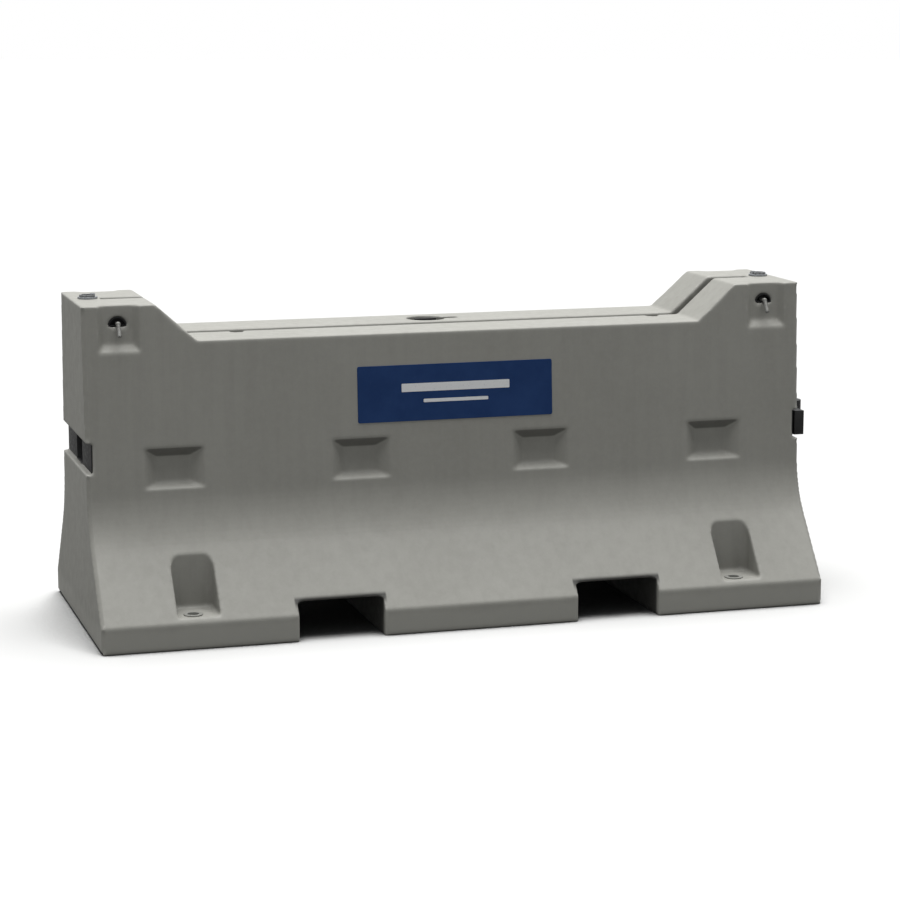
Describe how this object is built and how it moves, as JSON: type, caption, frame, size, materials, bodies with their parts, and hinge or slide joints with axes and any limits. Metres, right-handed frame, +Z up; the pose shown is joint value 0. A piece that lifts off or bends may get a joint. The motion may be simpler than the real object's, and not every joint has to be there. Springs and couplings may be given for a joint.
{
  "type": "water filled barrier",
  "caption": "Grey water filled road barrier with sloped foot, fork pockets, anchor scoops, raised ends, fence slot, drop-pin couplings and a filling cap.",
  "frame": {"origin": "on the ground under the middle of the tank", "axes": "+X along the barrier towards the link end, front faces -Y, +Z up"},
  "size_m": [2.0785, 0.766, 0.8797],
  "materials": {
    "grey_tank": "moulded concrete-grey polyethylene with a fine grain and light scuffs",
    "navy_panel": "satin printed panel",
    "black_plastic": "moulded black plastic, fine texture",
    "black_rubber": "soft black rubber",
    "galvanised_steel": "dull galvanised steel",
    "pin_steel": "zinc plated steel",
    "bronze_bush": "oiled bronze",
    "grey_insert": "moulded grey plastic"
  },
  "bodies": {
    "tank": {"barrier_shell": "grey_tank", "name_panel": "navy_panel", "fill_neck": "black_plastic", "cap_tether": "black_rubber", "tether_screw": "pin_steel", "drain_bush": "black_plastic", "pocket_liner_left": "black_plastic", "pocket_liner_right": "black_plastic", "pin_sleeve_left": "galvanised_steel", "pin_sleeve_right": "galvanised_steel", "pin_cup_left": "galvanised_steel", "pin_cup_right": "galvanised_steel", "lock_housing_left": "black_plastic", "lock_housing_right": "black_plastic", "post_sockets": "galvanised_steel", "anchor_sleeves": "grey_insert"},
    "fill_cap_seal": {"fill_cap_seal": "black_rubber"},
    "fill_cap": {"fill_cap": "black_plastic"},
    "drain_seal": {"drain_seal": "black_rubber"},
    "drain_plug": {"drain_plug": "black_plastic"},
    "left_pin": {"coupling_pin_left": "galvanised_steel"},
    "right_pin": {"coupling_pin_right": "galvanised_steel"},
    "left_ring": {"lift_ring_left": "pin_steel"},
    "right_ring": {"lift_ring_right": "pin_steel"},
    "link": {"coupling_link": "black_plastic", "link_bushes": "bronze_bush"},
    "left_lock": {"lock_key_left": "pin_steel", "lock_cam_left": "galvanised_steel", "cam_pin_left": "pin_steel"},
    "right_lock": {"lock_key_right": "pin_steel", "lock_cam_right": "galvanised_steel", "cam_pin_right": "pin_steel"}
  },
  "joints": [
    {"name": "left_pin_lift", "type": "slide", "parent": "tank", "child": "left_pin", "axis": [0, 0, 1], "range_m": [0, 0.44]},
    {"name": "right_pin_lift", "type": "slide", "parent": "tank", "child": "right_pin", "axis": [0, 0, 1], "range_m": [0, 0.44]},
    {"name": "left_ring_fold", "type": "hinge", "parent": "left_pin", "child": "left_ring", "pos_m": [-0.934, 0, 0.8742], "axis": [0, 1, 0], "range_deg": [0, 100]},
    {"name": "right_ring_fold", "type": "hinge", "parent": "right_pin", "child": "right_ring", "pos_m": [0.934, 0, 0.8742], "axis": [0, -1, 0], "range_deg": [0, 100]},
    {"name": "link_swing", "type": "hinge", "parent": "tank", "child": "link", "pos_m": [0.948, 0, 0.4735], "axis": [0, 0, 1], "range_deg": [-1.9, 1.9]},
    {"name": "left_lock_turn", "type": "hinge", "parent": "tank", "child": "left_lock", "pos_m": [-0.897, -0.05, 0.817], "axis": [0, 1, 0], "range_deg": [0, 90]},
    {"name": "right_lock_turn", "type": "hinge", "parent": "tank", "child": "right_lock", "pos_m": [0.897, -0.05, 0.817], "axis": [0, -1, 0], "range_deg": [0, 90]},
    {"name": "fill_cap_rise", "type": "slide", "parent": "tank", "child": "fill_cap_seal", "axis": [0, 0, 1], "range_m": [0, 0.0301]},
    {"name": "fill_cap_turn", "type": "hinge", "parent": "fill_cap_seal", "child": "fill_cap", "pos_m": [0, 0.1, 0.775], "axis": [0, 0, 1], "range_deg": [0, 1080]},
    {"name": "drain_plug_out", "type": "slide", "parent": "tank", "child": "drain_seal", "axis": [0, 1, 0], "range_m": [0, 0.0321]},
    {"name": "drain_plug_turn", "type": "hinge", "parent": "drain_seal", "child": "drain_plug", "pos_m": [0, 0.373, 0.036], "axis": [0, -1, 0], "range_deg": [0, 1152]}
  ],
  "couplings": [
    {"joint": "fill_cap_rise", "follows": "fill_cap_turn", "m_per_rad": 0.0015915},
    {"joint": "drain_plug_out", "follows": "drain_plug_turn", "m_per_rad": 0.0015915}
  ]
}
